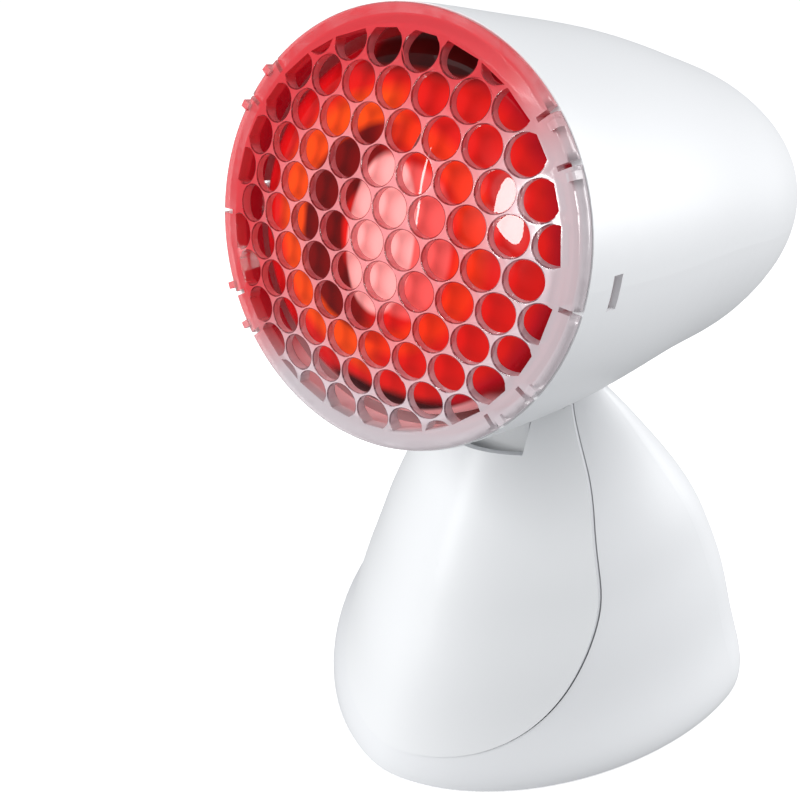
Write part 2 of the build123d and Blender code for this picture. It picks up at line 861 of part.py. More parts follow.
screw_seat = Plane(origin=head_point(0, clamp_top, screw_depth), x_dir=(1, 0, 0), z_dir=head_up)
with BuildPart() as leg_screws:
    with BuildSketch(screw_seat):
        with Locations(*leg_screw_spots):
            Circle(screw_radius)
    extrude(amount=-14)
    with BuildSketch(screw_seat):
        with Locations(*leg_screw_spots):
            Circle(screw_head)
    extrude(amount=screw_head_depth)
    add(cross_recesses(screw_seat.offset(screw_head_depth), leg_screw_spots), mode=Mode.SUBTRACT)
write(leg_screws, "leg_screws")

# Two insulated leads from the holder through the leg
head_leads = Compound(
    children=[
        wire_run(
            [
                head_point(side * lead_spread, holder_radius + 0.1, holder_back - 8),
                head_point(side * lead_spread, holder_radius + lead_drop, holder_back - 8),
                head_point(side * lead_spread, holder_radius + lead_drop, lead_depth),
                head_point(side * lead_spread, hinge_drop + hub_radius + 1, lead_depth),
            ],
            4.5,
        )
        for side in (-1, 1)
    ]
)
head_leads.label = "head_leads"
export_step(head_leads, "parts/head_leads.step")

# Foot shell: bell-shaped wall with a saddle under the head, cheeks for the hinge and screw bosses
head_rooms = head_sweep(head_gap)
plate_top = plate_bottom + plate_thick
pads = [(pad_front, foot_edge(pad_front) - pad_inset)]
pads.append((foot_depth - pad_back, foot_edge(foot_depth - pad_back) - pad_inset))
pad_spots = [(side * x, front_y + y) for y, x in pads for side in (-1, 1)]
bosses = [(boss_front, foot_edge(boss_front) - boss_inset)]
bosses.append((foot_depth - boss_back, foot_edge(foot_depth - boss_back) - boss_inset))
boss_spots = [(side * x, front_y + y) for y, x in bosses for side in (-1, 1)]
with BuildPart() as foot_cavity:
    add(foot_body(foot_wall))
    for room in head_sweep(head_gap + foot_wall):
        add(room, mode=Mode.SUBTRACT)
with BuildPart() as panel_seat:
    add(panel_prism(panel_gap))
    add(foot_body(panel_bite + 0.05), mode=Mode.SUBTRACT)
roller_place = hinge - head_up * (sector_radius + roller_radius + roller_gap)
leaf_top = roller_place.Z - roller_radius + roller_sink
leaf_x = 1.5 - leg_half
leaf_screw = (-slot_half + 5.8, hinge.Y - leaf_anchor)
with BuildPart() as foot_cheeks:
    with BuildSketch(Plane.YZ.offset(-cheek_outer)):
        with Locations((hinge.Y - 3, hinge.Z - 6)):
            RectangleRounded(44, 66, 6)
    extrude(amount=cheek_thick)
    with BuildSketch(Plane.YZ.offset(slot_half)):
        with Locations((hinge.Y, hinge.Z + 4)):
            RectangleRounded(36, 46, 6)
    extrude(amount=cheek_thick)
    add(foot_body(panel_bite + panel_gap), mode=Mode.INTERSECT)
    with BuildSketch(Plane.YZ.offset(-slot_half - 0.5)):
        with Locations((leaf_screw[1], leaf_top - leaf_thick - 4)):
            Rectangle(9, 8)
    extrude(amount=9.3)
with BuildPart() as foot_bosses:
    for x, y in boss_spots:
        with BuildSketch(Plane.XY.offset(plate_top)):
            with Locations((x, y)):
                Circle(boss_radius)
            with Locations((x + math.copysign(20, x), y)):
                Rectangle(40, rib_thick)
        extrude(amount=boss_height)
    add(foot_body(foot_wall - 1.4), mode=Mode.INTERSECT)
switch_back = foot_size(switch_height)[2]
lean = (foot_size(switch_height - 6)[2] - foot_size(switch_height + 6)[2]) / 12
switch_out = Vector(0, 1, lean).normalized()
switch_plane = Plane(origin=(0, switch_back, switch_height), x_dir=(-1, 0, 0), z_dir=switch_out)
inlet_place = (0, foot_size(inlet_height)[2], inlet_height)
inlet_plane = Plane(origin=inlet_place, x_dir=(-1, 0, 0), z_dir=(0, 1, 0))
with BuildPart() as foot_shell:
    add(foot_body(0))
    add(foot_cavity.part, mode=Mode.SUBTRACT)
    add(panel_seat.part, mode=Mode.SUBTRACT)
    add(panel_prism(-panel_ledge), mode=Mode.SUBTRACT)
    add(foot_cheeks.part)
    add(foot_bosses.part)
    for room in head_rooms:
        add(room, mode=Mode.SUBTRACT)
    add(slot_box(), mode=Mode.SUBTRACT)
    with BuildSketch(Plane.YZ.offset(-cheek_outer - 1)):
        with Locations((hinge.Y, hinge.Z)):
            Circle(pin_radius + pin_clear)
    extrude(amount=2 * cheek_outer + 2, mode=Mode.SUBTRACT)
    with BuildSketch(Plane.XY.offset(plate_top)):
        with Locations(*boss_spots):
            Circle(screw_radius + screw_clear)
    extrude(amount=16, mode=Mode.SUBTRACT)
    with BuildSketch(switch_plane.offset(-bezel_sink)):
        RectangleRounded(bezel_width + 0.4, bezel_height + 0.4, 1.2)
    extrude(amount=6, mode=Mode.SUBTRACT)
    with BuildSketch(switch_plane.offset(2)):
        Rectangle(switch_width + 0.4, switch_tall + 0.4)
    extrude(amount=-9, mode=Mode.SUBTRACT)
    with BuildSketch(inlet_plane.offset(-inlet_sink)):
        Circle(inlet_flange + 0.2)
    extrude(amount=4, mode=Mode.SUBTRACT)
    with BuildSketch(inlet_plane.offset(2)):
        Circle(inlet_radius + 0.1)
    extrude(amount=-9, mode=Mode.SUBTRACT)
    with BuildSketch(Plane(origin=(*leaf_screw, leaf_top - leaf_thick), z_dir=(0, 0, -1))):
        Circle(1.1)
    extrude(amount=6, mode=Mode.SUBTRACT)
write(foot_shell, "foot_shell")

# Front panel, a teardrop tongue a little proud of the shell, notched for the leg
with BuildPart() as front_panel:
    add(foot_body(-panel_proud))
    add(panel_prism(0), mode=Mode.INTERSECT)
    add(foot_body(panel_bite), mode=Mode.SUBTRACT)
    for room in head_rooms:
        add(room, mode=Mode.SUBTRACT)
    add(slot_box(), mode=Mode.SUBTRACT)
write(front_panel, "front_panel")

# Bottom plate with recesses for the pads, screw holes, clamp posts
block_y = back_y - block_back
clamp_y = back_y - clamp_back
clamp_spots = [(-clamp_spread, clamp_y), (clamp_spread, clamp_y)]
terminal_spots = [(side * terminal_pitch, block_y) for side in (-1, 0, 1)]
with BuildPart() as bottom_plate:
    add(foot_body(foot_wall + plate_clear))
    with BuildSketch(Plane.XY.offset(plate_bottom)):
        with Locations((0, (front_y + back_y) / 2)):
            Rectangle(2 * foot_half_width, foot_depth + 10)
    extrude(amount=plate_thick, mode=Mode.INTERSECT)
    with BuildSketch(Plane.XY.offset(plate_bottom)):
        with Locations(*pad_spots):
            Circle(pad_radius + 0.05)
    extrude(amount=pad_depth, mode=Mode.SUBTRACT)
    with BuildSketch(Plane.XY.offset(plate_bottom)):
        with Locations(*boss_spots):
            Circle(screw_radius + 0.3)
    extrude(amount=plate_thick, mode=Mode.SUBTRACT)
    with BuildSketch(Plane.XY.offset(plate_bottom)):
        with Locations(*boss_spots):
            Circle(screw_head + 0.2)
    extrude(amount=screw_head_depth, mode=Mode.SUBTRACT)
    with BuildSketch(Plane.XY.offset(plate_top)):
        with Locations(*clamp_spots):
            Circle(post_radius)
            Circle(screw_radius + screw_clear, mode=Mode.SUBTRACT)
    extrude(amount=post_height)
write(bottom_plate, "bottom_plate")

head_seat = plate_bottom + screw_head_depth
with BuildPart() as plate_screws:
    with BuildSketch(Plane.XY.offset(head_seat)):
        with Locations(*boss_spots):
            Circle(screw_radius)
    extrude(amount=14)
    with BuildSketch(Plane.XY.offset(head_seat)):
        with Locations(*boss_spots):
            Circle(screw_head)
    extrude(amount=0.2 - screw_head_depth)
    under = Plane(origin=(0, 0, plate_bottom + 0.2), x_dir=(1, 0, 0), z_dir=(0, 0, -1))
    add(cross_recesses(under, [(x, -y) for x, y in boss_spots]), mode=Mode.SUBTRACT)
write(plate_screws, "plate_screws")

with BuildPart() as rubber_pads:
    with BuildSketch(Plane.XY):
        with Locations(*pad_spots):
            Circle(pad_radius)
    extrude(amount=plate_bottom + pad_depth)
    fillet(rubber_pads.faces().group_by(Axis.Z)[0].edges(), 0.5)
write(rubber_pads, "rubber_pads")

# Hinge pin with washers and clips
pin_half = cheek_outer + pin_end
with BuildPart() as hinge_pin:
    with BuildSketch(Plane.YZ.offset(-pin_half)):
        with Locations((hinge.Y, hinge.Z)):
            Circle(pin_radius)
    extrude(amount=2 * pin_half)
    chamfer(hinge_pin.edges().group_by(Axis.X)[0], 0.6)
    chamfer(hinge_pin.edges().group_by(Axis.X)[-1], 0.6)
write(hinge_pin, "hinge_pin")

washer_side = (cheek_gap - washer_thick) / 2
with BuildPart() as hinge_washers:
    for start in (-slot_half + washer_side, leg_half + washer_side):
        with BuildSketch(Plane.YZ.offset(start)):
            with Locations((hinge.Y, hinge.Z)):
                Circle(washer_radius)
                Circle(pin_radius + pin_clear, mode=Mode.SUBTRACT)
        extrude(amount=washer_thick)
write(hinge_washers, "hinge_washers")

with BuildPart() as pin_clips:
    for start in (-cheek_outer - 0.1 - clip_thick, cheek_outer + 0.1):
        with BuildSketch(Plane.YZ.offset(start)):
            with Locations((hinge.Y, hinge.Z)):
                Circle(pin_radius + 3)
                Circle(pin_radius, mode=Mode.SUBTRACT)
        extrude(amount=clip_thick)
write(pin_clips, "pin_clips")

# Leaf spring with its roller under the detent sector
leaf_start = leaf_screw[1] - 4.5
leaf_end = roller_place.Y + 1.5
with BuildPart() as detent_spring:
    with BuildSketch(Plane.XY.offset(leaf_top - leaf_thick)):
        with Locations((leaf_x + leaf_width / 2, (leaf_start + leaf_end) / 2)):
            Rectangle(leaf_width, leaf_end - leaf_start)
        with Locations(leaf_screw):
            Circle(1.2, mode=Mode.SUBTRACT)
    extrude(amount=leaf_thick)
    with BuildSketch(Plane.YZ.offset(leaf_x)):
        with Locations((roller_place.Y, roller_place.Z)):
            Circle(roller_radius)
    extrude(amount=leaf_width)
write(detent_spring, "detent_spring")

with BuildPart() as detent_screw:
    with BuildSketch(Plane.XY.offset(leaf_top)):
        with Locations(leaf_screw):
            Circle(2.2)
    extrude(amount=1.3)
    with BuildSketch(Plane.XY.offset(leaf_top)):
        with Locations(leaf_screw):
            Circle(1.0)
    extrude(amount=-6)
write(detent_screw, "detent_screw")

# Rocker switch: housing with bezel, rocker on its pivots, two blades
with BuildPart() as switch_housing:
    with BuildSketch(switch_plane.offset(-bezel_sink)):
        RectangleRounded(bezel_width, bezel_height, 1.0)
    extrude(amount=bezel_sink + bezel_proud)
    fillet(switch_housing.faces().sort_by(Axis(switch_plane.origin, switch_out))[-1].edges(), 0.4)
    with BuildSketch(switch_plane.offset(-bezel_sink)):
        Rectangle(switch_width, switch_tall)
    extrude(amount=-switch_deep)
    with BuildSketch(switch_plane.offset(bezel_proud)):
        Rectangle(2 * rocker_half + 0.4, 2 * rocker_radius + 0.6)
    extrude(amount=-switch_deep, mode=Mode.SUBTRACT)
    pivot_line = Plane(
        origin=switch_plane.origin - switch_out * rocker_pivot - Vector(rocker_half + 1.1, 0, 0),
        x_dir=switch_out,
        z_dir=(1, 0, 0),
    )
    with BuildSketch(pivot_line):
        Circle(rocker_pin + 0.05)
    extrude(amount=2 * rocker_half + 2.2, mode=Mode.SUBTRACT)
write(switch_housing, "switch_housing")

rocker_turn = math.radians(rocker_rest)
rocker_up = Vector(0, -switch_out.Z, switch_out.Y)
rocker_out = switch_out * math.cos(rocker_turn) + rocker_up * math.sin(rocker_turn)
rocker_centre = switch_plane.origin - switch_out * rocker_pivot
rocker_side = Plane(
    origin=rocker_centre - Vector(rocker_half, 0, 0), x_dir=rocker_out, z_dir=(1, 0, 0)
)
with BuildPart() as switch_rocker:
    with BuildSketch(rocker_side):
        with BuildLine():
            Polyline(
                (3.4, 0),
                (5.0, 9),
                (-3, 9),
                (-3, -9),
                (5.0, -9),
                (3.4, 0),
            )
        make_face()
        Circle(rocker_radius, mode=Mode.INTERSECT)
    extrude(amount=2 * rocker_half)
    with BuildSketch(rocker_side.offset(-0.9)):
        Circle(rocker_pin)
    extrude(amount=2 * rocker_half + 1.8)
write(switch_rocker, "switch_rocker")

with BuildPart() as switch_blades:
    with BuildSketch(switch_plane.offset(-bezel_sink - switch_deep)):
        with Locations((0, -4.5), (0, 4.5)):
            Rectangle(4.8, 0.8)
    extrude(amount=-7)
write(switch_blades, "switch_blades")

# Bushing that the supply cord passes through
with BuildPart() as cord_inlet:
    with BuildSketch(inlet_plane.offset(-inlet_length)):
        Circle(inlet_radius)
    extrude(amount=inlet_length)
    with BuildSketch(inlet_plane.offset(-inlet_sink)):
        Circle(inlet_flange)
    extrude(amount=inlet_sink + inlet_proud)
    fillet(cord_inlet.faces().sort_by(Axis.Y)[-1].edges(), 0.7)
    with BuildSketch(inlet_plane.offset(-inlet_length)):
        Circle(inlet_bore)
    extrude(amount=inlet_length + inlet_proud, mode=Mode.SUBTRACT)
write(cord_inlet, "cord_inlet")

# Terminal block with three screws, and the cord clamp
with BuildPart() as terminal_block:
    with BuildSketch(Plane.XY.offset(plate_top)):
        with Locations((0, block_y)):
            Rectangle(2 * block_half, block_deep)
    extrude(amount=block_tall)
    with BuildSketch(Plane.XY.offset(plate_top + block_tall)):
        with Locations(*terminal_spots):
            Circle(terminal_radius)
    extrude(amount=-terminal_depth, mode=Mode.SUBTRACT)
write(terminal_block, "terminal_block")

terminal_floor = plate_top + block_tall - terminal_depth
terminal_top = terminal_floor + terminal_length
with BuildPart() as terminal_screws:
    with BuildSketch(Plane.XY.offset(terminal_floor)):
        with Locations(*terminal_spots):
            Circle(terminal_radius - 0.2)
    extrude(amount=terminal_length)
    with BuildSketch(Plane.XY.offset(terminal_top)):
        with Locations(*terminal_spots):
            Rectangle(3.2, 0.7)
    extrude(amount=-0.8, mode=Mode.SUBTRACT)
write(terminal_screws, "terminal_screws")

with BuildPart() as cord_clamp:
    with BuildSketch(Plane.XY.offset(plate_top + post_height)):
        with Locations((0, clamp_y)):
            RectangleRounded(2 * clamp_half, 2 * post_radius, 2)
        with Locations(*clamp_spots):
            Circle(screw_radius + screw_clear, mode=Mode.SUBTRACT)
    extrude(amount=clamp_thick)
write(cord_clamp, "cord_clamp")

clamp_top_z = plate_top + post_height + clamp_thick
with BuildPart() as clamp_screws:
    with BuildSketch(Plane.XY.offset(plate_top + 0.5)):
        with Locations(*clamp_spots):
            Circle(screw_radius)
    extrude(amount=clamp_top_z - plate_top - 0.5)
    with BuildSketch(Plane.XY.offset(clamp_top_z)):
        with Locations(*clamp_spots):
            Circle(2.6)
    extrude(amount=1.6)
    add(cross_recesses(Plane.XY.offset(clamp_top_z + 1.6), clamp_spots), mode=Mode.SUBTRACT)
write(clamp_screws, "clamp_screws")

# Leads inside the foot, from the block up to below the hinge
foot_leads = Compound(
    children=[
        wire_run(
            [
                Vector(side * terminal_pitch, block_y, terminal_top),
                Vector(side * terminal_pitch, block_y, hinge.Z - 44),
                Vector(side * lead_spread, hinge.Y + lead_offset, hinge.Z - 38),
                Vector(side * lead_spread, hinge.Y + lead_offset, hinge.Z - 19),
            ],
            7,
        )
        for side in (-1, 1)
    ]
)
foot_leads.label = "foot_leads"
export_step(foot_leads, "parts/foot_leads.step")
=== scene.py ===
import math

import bpy
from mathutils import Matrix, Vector


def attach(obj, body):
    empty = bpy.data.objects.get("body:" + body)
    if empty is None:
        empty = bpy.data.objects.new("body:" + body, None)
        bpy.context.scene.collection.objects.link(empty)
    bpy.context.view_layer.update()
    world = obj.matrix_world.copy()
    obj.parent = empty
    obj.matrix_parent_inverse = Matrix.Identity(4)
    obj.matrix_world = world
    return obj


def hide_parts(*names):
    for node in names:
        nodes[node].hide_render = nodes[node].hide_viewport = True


# Infrared heat lamp. Metres, +Z up, the front cover looks towards -Y.

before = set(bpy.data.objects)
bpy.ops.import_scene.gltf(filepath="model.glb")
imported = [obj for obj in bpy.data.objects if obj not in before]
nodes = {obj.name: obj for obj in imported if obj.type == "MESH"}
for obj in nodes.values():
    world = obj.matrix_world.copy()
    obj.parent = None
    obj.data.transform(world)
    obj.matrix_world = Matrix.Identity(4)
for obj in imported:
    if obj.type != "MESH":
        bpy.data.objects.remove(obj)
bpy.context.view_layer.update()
scene = bpy.context.scene

# the head: tip of the front cover, tilt below level, and the directions across, back and up along it
headPlace = {"apexY": -0.0967, "apexZ": 0.1617, "tilt": math.radians(9.2)}
apex = Vector((0, headPlace["apexY"], headPlace["apexZ"]))
headAcross = Vector((1, 0, 0))
headBack = Vector((0, math.cos(headPlace["tilt"]), -math.sin(headPlace["tilt"])))
headUp = Vector((0, math.sin(headPlace["tilt"]), math.cos(headPlace["tilt"])))
print("frame loaded:", len(nodes), "nodes")


# camera, placed from the tip of the front cover
camera = {
    "fromApex": (0.1247, -0.1610, 0.0765), "lookDown": 28.92, "heading": 40.39,
    "lens": 48.24, "sensor": 36, "shiftX": 0.10, "clipStart": 0.01,
}


def placeCamera():
    cameraData = bpy.data.cameras.new("camera")
    cameraData.lens = camera["lens"]
    cameraData.sensor_width = camera["sensor"]
    cameraData.shift_x = camera["shiftX"]
    cameraData.clip_start = camera["clipStart"]
    cameraObject = bpy.data.objects.new("camera", cameraData)
    scene.collection.objects.link(cameraObject)
    cameraObject.location = apex + Vector(camera["fromApex"])
    cameraObject.rotation_euler = (math.radians(90 - camera["lookDown"]), 0, math.radians(camera["heading"]))
    scene.camera = cameraObject


placeCamera()
print("camera placed")


# helpers for materials
def newMaterial(name):
    material = bpy.data.materials.new(name)
    material.use_nodes = True
    tree = material.node_tree
    return material, tree, tree.nodes["Principled BSDF"]


def setSockets(shader, values):
    for name, value in values.items():
        shader.inputs[name].default_value = value


def objectNoise(tree, scale, detail=2.0):
    coordinates = tree.nodes.new("ShaderNodeTexCoord")
    noise = tree.nodes.new("ShaderNodeTexNoise")
    noise.inputs["Scale"].default_value = scale
    noise.inputs["Detail"].default_value = detail
    tree.links.new(coordinates.outputs["Object"], noise.inputs["Vector"])
    return noise.outputs["Fac"]


def addBump(tree, shader, height, strength, distance):
    bump = tree.nodes.new("ShaderNodeBump")
    bump.inputs["Strength"].default_value = strength
    bump.inputs["Distance"].default_value = distance
    tree.links.new(height, bump.inputs["Height"])
    tree.links.new(bump.outputs["Normal"], shader.inputs["Normal"])


def spread(tree, value, low, high, fromLow=0.0, fromHigh=1.0, smooth=False):
    ramp = tree.nodes.new("ShaderNodeMapRange")
    if smooth:
        ramp.interpolation_type = "SMOOTHSTEP"
    for name, number in (("From Min", fromLow), ("From Max", fromHigh), ("To Min", low), ("To Max", high)):
        ramp.inputs[name].default_value = number
    tree.links.new(value, ramp.inputs["Value"])
    return ramp.outputs["Result"]


# from 0 up to 1 between two limits
def rise(tree, value, limits):
    return spread(tree, value, 0.0, 1.0, *limits, smooth=True)


# from 1 down to 0 between two limits
def fall(tree, value, limits):
    return spread(tree, value, 1.0, 0.0, *limits, smooth=True)


def mathNode(tree, operation, first, second=None):
    node = tree.nodes.new("ShaderNodeMath")
    node.operation = operation
    for socket, value in zip(node.inputs, (first, second)):
        if value is None:
            continue
        if isinstance(value, (int, float)):
            socket.default_value = value
        else:
            tree.links.new(value, socket)
    return node.outputs[0]


def multiply(tree, first, second):
    return mathNode(tree, "MULTIPLY", first, second)


def lengthOf(tree, first, second):
    squares = mathNode(tree, "ADD", multiply(tree, first, first), multiply(tree, second, second))
    return mathNode(tree, "SQRT", squares)


# 1 where a value is less than the half width away from the middle, 0 elsewhere
def within(tree, value, middle, half):
    off = mathNode(tree, "ABSOLUTE", mathNode(tree, "SUBTRACT", value, middle))
    return mathNode(tree, "LESS_THAN", off, half)


def mixColour(tree, factor, first, second):
    node = tree.nodes.new("ShaderNodeMix")
    node.data_type = "RGBA"
    tree.links.new(factor, node.inputs["Factor"])
    for socket, value in ((node.inputs[6], first), (node.inputs[7], second)):
        if isinstance(value, tuple):
            socket.default_value = (*value, 1)
        else:
            tree.links.new(value, socket)
    return node.outputs[2]


def colourRamp(tree, value, stops):
    ramp = tree.nodes.new("ShaderNodeValToRGB")
    elements = ramp.color_ramp.elements
    while len(elements) < len(stops):
        elements.new(0.5)
    for element, (place, colour) in zip(elements, stops):
        element.position = place
        element.color = (*colour, 1)
    tree.links.new(value, ramp.inputs["Fac"])
    return ramp.outputs["Color"]


def dotWith(tree, vector, direction):
    along = tree.nodes.new("ShaderNodeVectorMath")
    along.operation = "DOT_PRODUCT"
    tree.links.new(vector, along.inputs[0])
    along.inputs[1].default_value = direction
    return along.outputs["Value"]


# the way that each face points, in the piece's own directions: 1 along the direction, 0 square to it
def facePointing(tree, direction):
    geometry = tree.nodes.new("ShaderNodeNewGeometry")
    own = tree.nodes.new("ShaderNodeVectorTransform")
    own.vector_type = "NORMAL"
    own.convert_from = "WORLD"
    own.convert_to = "OBJECT"
    tree.links.new(geometry.outputs["True Normal"], own.inputs[0])
    return mathNode(tree, "ABSOLUTE", dotWith(tree, own.outputs[0], direction))


# distances from a point of the piece, along each of some directions
def distancesFrom(tree, origin, directions):
    coordinates = tree.nodes.new("ShaderNodeTexCoord")
    fromOrigin = tree.nodes.new("ShaderNodeVectorMath")
    fromOrigin.operation = "SUBTRACT"
    tree.links.new(coordinates.outputs["Object"], fromOrigin.inputs[0])
    fromOrigin.inputs[1].default_value = origin
    return [dotWith(tree, fromOrigin.outputs[0], direction) for direction in directions]


# gloss white moulding of the head, foot and panel, with a very fine grain from the mould;
# where a painted seam shade is given, faces that point sideways into the seam take it as painted shade in
# the gap
shellLook = {
    "mottle": 900.0, "mottleSpan": 0.02, "grain": 2600.0, "grainStrength": 0.08, "grainDepth": 0.00004,
    "forward": (0, 1, 0), "seamTurn": (0.08, 0.24),
}


def shellPlastic(name, colour, roughness, paintedSeamShade=None):
    material, tree, shader = newMaterial(name)
    look = shellLook
    shader.inputs["Base Color"].default_value = (*colour, 1)
    if paintedSeamShade:
        # faces turned sideways into the seam get painted shade
        paintedShadeInSeam = fall(tree, facePointing(tree, look["forward"]), look["seamTurn"])
        tree.links.new(mixColour(tree, paintedShadeInSeam, colour, paintedSeamShade), shader.inputs["Base Color"])
    mottled = spread(tree, objectNoise(tree, look["mottle"]), roughness - look["mottleSpan"],
                     roughness + look["mottleSpan"])
    tree.links.new(mottled, shader.inputs["Roughness"])
    addBump(tree, shader, objectNoise(tree, look["grain"]), look["grainStrength"], look["grainDepth"])
    return material


# grain of the plain surfaces: how fine it is, how far it moves the roughness down and up, and its depth
grains = {
    "plastic": {"scale": 1800.0, "detail": 3.0, "down": 0.08, "up": 0.08, "strength": 0.25, "depth": 0.0001},
    "ceramic": {"scale": 300.0, "detail": 3.0, "down": 0.08, "up": 0.08, "strength": 0.25, "depth": 0.0001},
    "metal": {"scale": 900.0, "detail": 4.0, "down": 0.07, "up": 0.10, "strength": 0.15, "depth": 0.00005},
    "rocker": {"scale": 1800.0, "detail": 3.0, "down": 0.07, "up": 0.07, "strength": 0.20, "depth": 0.00006},
}


def addGrain(tree, shader, grain, roughness):
    noise = objectNoise(tree, grain["scale"], grain["detail"])
    grained = spread(tree, noise, roughness - grain["down"], roughness + grain["up"])
    tree.links.new(grained, shader.inputs["Roughness"])
    addBump(tree, shader, noise, grain["strength"], grain["depth"])


def plainPlastic(name, colour, roughness, grain="plastic"):
    material, tree, shader = newMaterial(name)
    shader.inputs["Base Color"].default_value = (*colour, 1)
    addGrain(tree, shader, grains[grain], roughness)
    return material


def metal(name, colour, roughness):
    material, tree, shader = newMaterial(name)
    setSockets(shader, {"Base Color": (*colour, 1), "Metallic": 1.0})
    addGrain(tree, shader, grains["metal"], roughness)
    return material


# clear moulded cover with the bulb's red light painted into its colour and its glow: painted pink light in
# the middle, painted red light towards the top and one side, paler on the other side and at the bottom,
# where painted shade darkens the ring;
# its holes have painted dark rims and walls lightened by painted light, and the skirt behind it takes
# painted crimson light, pale at the bottom
# the cover's colours are painted light and painted shade
coverLook = {
    "middle": (0.92, 0.32, 0.34), "redSide": (0.78, 0.055, 0.068), "paleSide": (0.82, 0.73, 0.77),
    "ringPale": (0.63, 0.56, 0.59), "middleEnd": (0.020, 0.038), "redStart": (-0.020, 0.016),
    "grilleEnd": (0.0385, 0.0400),
    "rimRed": (0.17, 0.006, 0.010), "rimPale": (0.15, 0.10, 0.12), "rimTurn": (0.955, 0.978),
    "wallRed": (0.80, 0.17, 0.19), "wallPale": (0.70, 0.58, 0.62), "wallTurn": (0.05, 0.15),
    "skirt": (0.62, 0.006, 0.030), "skirtLow": (1.0, 0.60, 0.61), "lowEnd": (-0.037, -0.029),
    "skirtStart": (0.0066, 0.0086), "skirtOutside": (0.0420, 0.0426),
    "mottle": 500.0, "roughness": (0.12, 0.18),
    "sockets": {"Emission Strength": 0.10, "Alpha": 0.66, "IOR": 1.49,
                "Coat Weight": 0.4, "Coat Roughness": 0.06},
}


def coverPlastic(name):
    material, tree, shader = newMaterial(name)
    look = coverLook
    across, up, back = distancesFrom(tree, apex, (headAcross, headUp, headBack))
    radius = lengthOf(tree, across, up)
    # painted red light: pink in the middle, red towards the top and one side, paler on the other side
    redSide = rise(tree, mathNode(tree, "SUBTRACT", up, across), look["redStart"])
    onGrille = fall(tree, radius, look["grilleEnd"])
    outward = rise(tree, radius, look["middleEnd"])
    pale = multiply(tree, outward, mathNode(tree, "SUBTRACT", 1.0, redSide))
    # painted shade: the ring beyond the grille is darker than the grille on the pale side
    paleOuter = mixColour(tree, onGrille, look["ringPale"], look["paleSide"])
    flat = mixColour(tree, outward, look["middle"], mixColour(tree, redSide, paleOuter, look["redSide"]))

    # painted shade as dark rims round the holes, and painted light lightening the hole walls
    turn = facePointing(tree, headBack)
    onRim = multiply(tree, fall(tree, turn, look["rimTurn"]), onGrille)
    onWall = multiply(tree, fall(tree, turn, look["wallTurn"]), onGrille)
    rimmed = mixColour(tree, onRim, flat, mixColour(tree, pale, look["rimRed"], look["rimPale"]))
    face = mixColour(tree, onWall, rimmed, mixColour(tree, pale, look["wallRed"], look["wallPale"]))

    # painted light on the skirt: crimson from the bulb, pale at the bottom
    skirt = mixColour(tree, fall(tree, up, look["lowEnd"]), look["skirt"], look["skirtLow"])
    onSkirt = multiply(tree, rise(tree, back, look["skirtStart"]), fall(tree, radius, look["skirtOutside"]))
    final = mixColour(tree, onSkirt, face, skirt)
    tree.links.new(final, shader.inputs["Base Color"])
    # the painted light also drives a glow, though the cover is no lamp
    tree.links.new(final, shader.inputs["Emission Color"])
    setSockets(shader, look["sockets"])
    mottled = spread(tree, objectNoise(tree, look["mottle"]), *look["roughness"])
    tree.links.new(mottled, shader.inputs["Roughness"])
    return material


# red pressed glass over a silvered reflector, its reflections painted into the colour and glow: painted
# bands of orange reflection and of shade round a painted pale reflection in the middle, with a painted rose
# reflection beside it, painted dark shade at the top and bottom ends, and a painted pale edge below
bulbLook = {
    "red": (0.58, 0.006, 0.004), "deep": (0.42, 0.002, 0.009), "orange": (0.74, 0.056, 0.003),
    "warm": (0.70, 0.024, 0.003), "dark": (0.14, 0.001, 0.001), "pale": (0.90, 0.34, 0.33),
    "rose": (0.74, 0.085, 0.080), "black": (0.030, 0.001, 0.001), "edgeLow": (0.72, 0.33, 0.34),
    "waves": 60.0, "wavesDetail": 1.0, "waveHeight": 0.0022, "endWaves": 1.5, "bandsRadius": 0.040,
    "leftBands": (
        (0.0, "red"), (0.26, "red"), (0.30, "dark"), (0.54, "dark"), (0.585, "orange"),
        (0.70, "orange"), (0.78, "red"), (1.0, "deep")),
    "rightBands": (
        (0.0, "red"), (0.44, "red"), (0.49, "warm"), (0.58, "warm"),
        (0.64, "red"), (0.86, "red"), (0.92, "deep"), (1.0, "dark")),
    "rightStart": (-0.006, 0.004), "paleWide": 0.0085, "paleTall": 0.017, "paleEnd": (0.92, 1.04),
    "roseWide": 0.011, "roseTall": 0.016, "roseOff": 0.006, "roseEnd": (0.90, 1.05),
    "endStart": (0.031, 0.0345), "endRightOf": (-0.016, -0.010),
    "edgeStart": (0.0372, 0.0384), "edgeLowEnd": (-0.031, -0.026),
    "sockets": {"Emission Strength": 0.40, "Specular IOR Level": 0.08, "Roughness": 0.25,
                "Coat Weight": 0.8, "Coat Roughness": 0.015},
}


